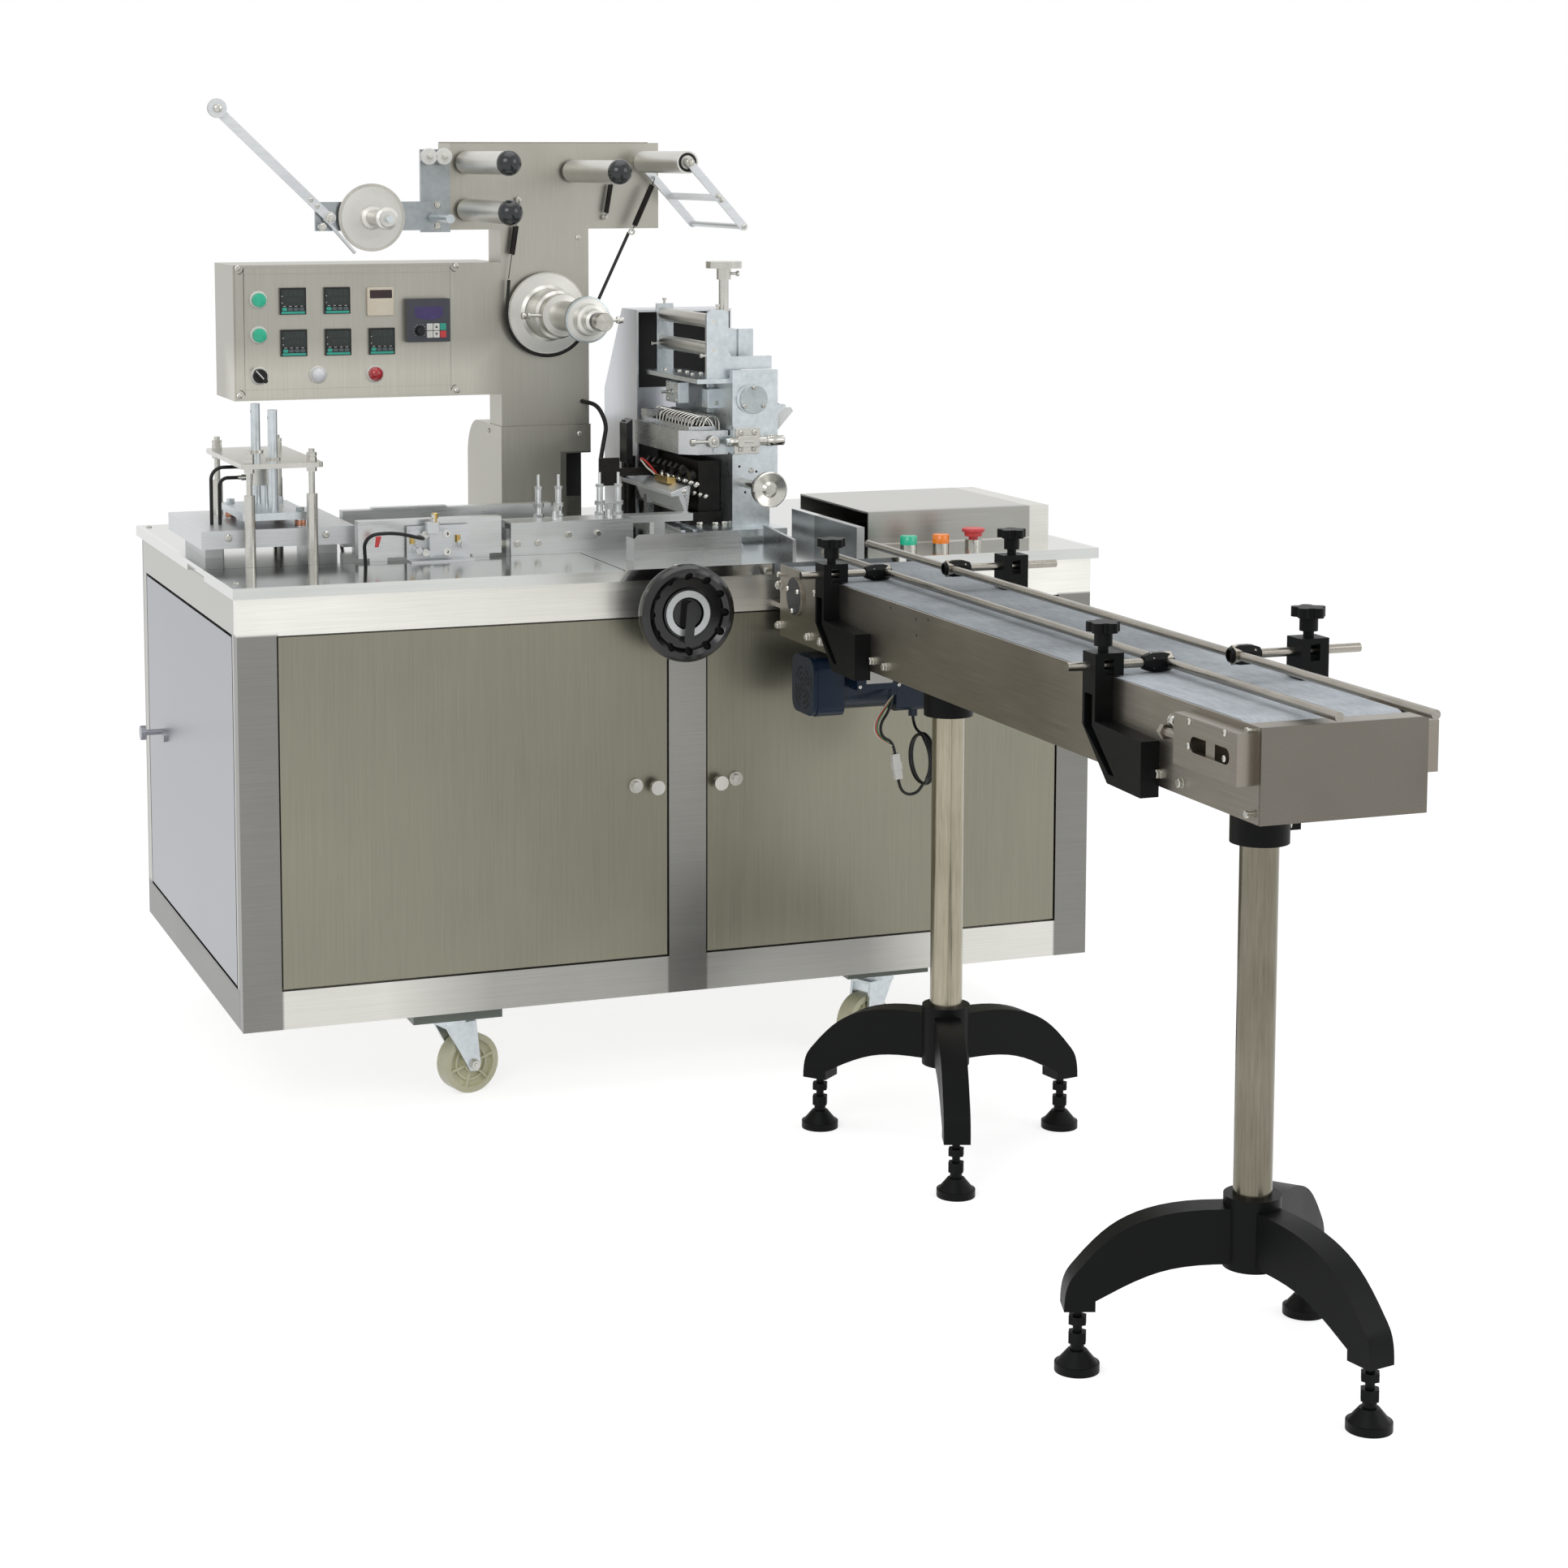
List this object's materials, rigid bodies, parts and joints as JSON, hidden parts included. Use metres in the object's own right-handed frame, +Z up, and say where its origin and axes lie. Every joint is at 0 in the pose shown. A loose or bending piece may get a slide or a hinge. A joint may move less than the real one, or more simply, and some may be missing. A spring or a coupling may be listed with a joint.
{
  "type": "film overwrapping machine",
  "caption": "Film overwrapping machine: stainless cabinet on castors, control box and film rollers on a column, wrapping head, and a long outfeed belt conveyor on stands.",
  "frame": {"origin": "on the floor, under the middle of the whole machine with its conveyor", "axes": "+X to the right along the cabinet as the operator sees it, +Y from the conveyor end to the back of the cabinet, +Z up"},
  "size_m": [1.53, 2.735, 1.6423],
  "materials": {
    "anodised_aluminium": "clear anodised aluminium",
    "belt_felt": "grey felt-faced belt",
    "black_nylon": "moulded black glass-filled nylon",
    "black_plastic": "satin black plastic",
    "black_rubber": "black rubber",
    "black_steel": "blackened steel",
    "blue_paint": "dark blue enamel",
    "brushed_stainless": "brushed stainless sheet",
    "chromed_fittings": "bright turned and plated fittings",
    "coloured_plastic": "gloss coloured button caps",
    "cream_nylon": "cream cast nylon",
    "door_stainless": "brushed stainless sheet, darker panels",
    "polished_stainless": "polished stainless steel",
    "red_plastic": "gloss red plastic",
    "tube_plastic": "polyurethane air tube",
    "turned_aluminium": "turned aluminium",
    "white_plastic": "white moulded nylon",
    "zinc_steel": "zinc plated steel"
  },
  "bodies": {
    "machine": {"cabinet": "brushed_stainless", "table_top": "polished_stainless", "front_doors": "door_stainless", "cabinet_fittings": "chromed_fittings", "castor_bars": "zinc_steel", "column": "brushed_stainless", "control_box": "brushed_stainless", "panel_instruments": "black_plastic", "push_buttons": "coloured_plastic", "anchor_springs": "black_steel", "brake_spring": "black_steel", "tape_bracket": "zinc_steel", "press_block": "anodised_aluminium", "press_stand": "zinc_steel", "table_guides": "zinc_steel", "guide_cylinder": "anodised_aluminium", "air_tubes": "tube_plastic", "brake_cord": "black_rubber", "head_tower": "zinc_steel", "head_frame": "zinc_steel", "forming_block": "anodised_aluminium", "head_mechanism": "black_steel", "cover_box": "brushed_stainless", "conveyor_frame": "brushed_stainless", "conveyor_belt": "belt_felt", "rail_brackets": "black_nylon", "drive_motor": "blue_paint", "stand_posts": "polished_stainless", "stand_castings": "black_nylon", "levelling_feet": "black_nylon", "motor_lead": "black_rubber", "lead_coil": "black_rubber", "lead_connector": "white_plastic"},
    "side_door": {"side_door": "brushed_stainless"},
    "castor_fork_1": {"castor_fork_1": "zinc_steel"},
    "castor_wheel_1": {"castor_wheel_1": "cream_nylon"},
    "castor_fork_2": {"castor_fork_2": "zinc_steel"},
    "castor_wheel_2": {"castor_wheel_2": "cream_nylon"},
    "castor_fork_3": {"castor_fork_3": "zinc_steel"},
    "castor_wheel_3": {"castor_wheel_3": "cream_nylon"},
    "castor_fork_4": {"castor_fork_4": "zinc_steel"},
    "castor_wheel_4": {"castor_wheel_4": "cream_nylon"},
    "selector_knob": {"selector_knob": "black_plastic"},
    "guide_roller_a": {"guide_roller_a": "turned_aluminium"},
    "guide_roller_b": {"guide_roller_b": "turned_aluminium"},
    "guide_roller_c": {"guide_roller_c": "turned_aluminium"},
    "dancer_roller": {"dancer_roller": "turned_aluminium"},
    "dancer_arm": {"dancer_arm": "zinc_steel"},
    "film_reel": {"film_reel": "turned_aluminium"},
    "tape_reel": {"tape_reel": "turned_aluminium"},
    "tape_arm": {"tape_arm": "zinc_steel"},
    "press_plate": {"press_plate": "anodised_aluminium"},
    "head_roller_1": {"head_roller_1": "turned_aluminium"},
    "head_roller_2": {"head_roller_2": "turned_aluminium"},
    "head_screw": {"head_screw": "zinc_steel"},
    "head_knob": {"head_knob": "zinc_steel"},
    "emergency_stop": {"emergency_stop": "red_plastic"},
    "near_rail": {"near_rail": "polished_stainless"},
    "far_rail": {"far_rail": "polished_stainless"},
    "handwheel": {"handwheel": "black_plastic"}
  },
  "joints": [
    {"name": "side_door_swing", "type": "hinge", "parent": "machine", "child": "side_door", "pos_m": [-0.723, 0.4385, 0.5], "axis": [0, 0, 1], "range_deg": [0, 100]},
    {"name": "castor_swivel_1", "type": "hinge", "parent": "machine", "child": "castor_fork_1", "pos_m": [-0.367, 0.4775, 0.13], "axis": [0, 0, 1], "continuous": true},
    {"name": "castor_roll_1", "type": "hinge", "parent": "castor_fork_1", "child": "castor_wheel_1", "pos_m": [-0.33416, 0.4863, 0.05], "axis": [-0.2588, 0.9659, 0], "continuous": true},
    {"name": "castor_swivel_2", "type": "hinge", "parent": "machine", "child": "castor_fork_2", "pos_m": [0.405, 0.4975, 0.13], "axis": [0, 0, 1], "continuous": true},
    {"name": "castor_roll_2", "type": "hinge", "parent": "castor_fork_2", "child": "castor_wheel_2", "pos_m": [0.37419, 0.48313, 0.05], "axis": [0.4226, -0.9063, 0], "continuous": true},
    {"name": "castor_swivel_3", "type": "hinge", "parent": "machine", "child": "castor_fork_3", "pos_m": [-0.367, 1.1475, 0.13], "axis": [0, 0, 1], "continuous": true},
    {"name": "castor_roll_3", "type": "hinge", "parent": "castor_fork_3", "child": "castor_wheel_3", "pos_m": [-0.34095, 1.16935, 0.05], "axis": [-0.6428, 0.766, 0], "continuous": true},
    {"name": "castor_swivel_4", "type": "hinge", "parent": "machine", "child": "castor_fork_4", "pos_m": [0.405, 1.1475, 0.13], "axis": [0, 0, 1], "continuous": true},
    {"name": "castor_roll_4", "type": "hinge", "parent": "castor_fork_4", "child": "castor_wheel_4", "pos_m": [0.37305, 1.15913, 0.05], "axis": [-0.342, -0.9397, 0], "continuous": true},
    {"name": "selector_turn", "type": "hinge", "parent": "machine", "child": "selector_knob", "pos_m": [-0.53, 1.1275, 1.15], "axis": [0, 1, 0], "range_deg": [0, 90]},
    {"name": "guide_roller_a_spin", "type": "hinge", "parent": "machine", "child": "guide_roller_a", "pos_m": [-0.145, 0.9875, 1.53], "axis": [0, 1, 0], "continuous": true},
    {"name": "guide_roller_b_spin", "type": "hinge", "parent": "machine", "child": "guide_roller_b", "pos_m": [-0.143, 0.9875, 1.444], "axis": [0, 1, 0], "continuous": true},
    {"name": "guide_roller_c_spin", "type": "hinge", "parent": "machine", "child": "guide_roller_c", "pos_m": [0.058, 0.9875, 1.514], "axis": [0, 1, 0], "continuous": true},
    {"name": "dancer_roller_spin", "type": "hinge", "parent": "machine", "child": "dancer_roller", "pos_m": [0.185, 0.9875, 1.531], "axis": [0, 1, 0], "continuous": true},
    {"name": "dancer_swing", "type": "hinge", "parent": "machine", "child": "dancer_arm", "pos_m": [0.185, 0.9875, 1.531], "axis": [0, 1, 0], "range_deg": [-25, 20], "deforming": ["brake_spring"]},
    {"name": "film_reel_spin", "type": "hinge", "parent": "machine", "child": "film_reel", "pos_m": [0.006, 0.9875, 1.254], "axis": [0, 1, 0], "continuous": true},
    {"name": "tape_reel_spin", "type": "hinge", "parent": "machine", "child": "tape_reel", "pos_m": [-0.325, 1.0575, 1.432], "axis": [0, 1, 0], "continuous": true},
    {"name": "tape_arm_swing", "type": "hinge", "parent": "machine", "child": "tape_arm", "pos_m": [-0.403, 1.1175, 1.432], "axis": [0, 1, 0], "range_deg": [0, 35]},
    {"name": "press_lift", "type": "slide", "parent": "machine", "child": "press_plate", "axis": [0, 0, 1], "range_m": [0, 0.035]},
    {"name": "head_roller_1_spin", "type": "hinge", "parent": "machine", "child": "head_roller_1", "pos_m": [0.195, 0.8775, 1.254], "axis": [0, 1, 0], "continuous": true},
    {"name": "head_roller_2_spin", "type": "hinge", "parent": "machine", "child": "head_roller_2", "pos_m": [0.195, 0.8775, 1.204], "axis": [0, 1, 0], "continuous": true},
    {"name": "head_screw_turn", "type": "hinge", "parent": "machine", "child": "head_screw", "pos_m": [0.244, 0.8275, 1.25], "axis": [0, 0, 1], "continuous": true},
    {"name": "head_knob_turn", "type": "hinge", "parent": "machine", "child": "head_knob", "pos_m": [0.24, 0.6775, 0.972], "axis": [0, 1, 0], "continuous": true},
    {"name": "emergency_stop_press", "type": "slide", "parent": "machine", "child": "emergency_stop", "axis": [0, 0, 1], "range_m": [-0.004, 0]},
    {"name": "near_rail_adjust", "type": "slide", "parent": "machine", "child": "near_rail", "axis": [1, 0, 0], "range_m": [-0.03, 0.008]},
    {"name": "far_rail_adjust", "type": "slide", "parent": "machine", "child": "far_rail", "axis": [1, 0, 0], "range_m": [-0.008, 0.03]},
    {"name": "handwheel_turn", "type": "hinge", "parent": "machine", "child": "handwheel", "pos_m": [-0.008, 0.3275, 0.808], "axis": [0, 1, 0], "continuous": true}
  ]
}
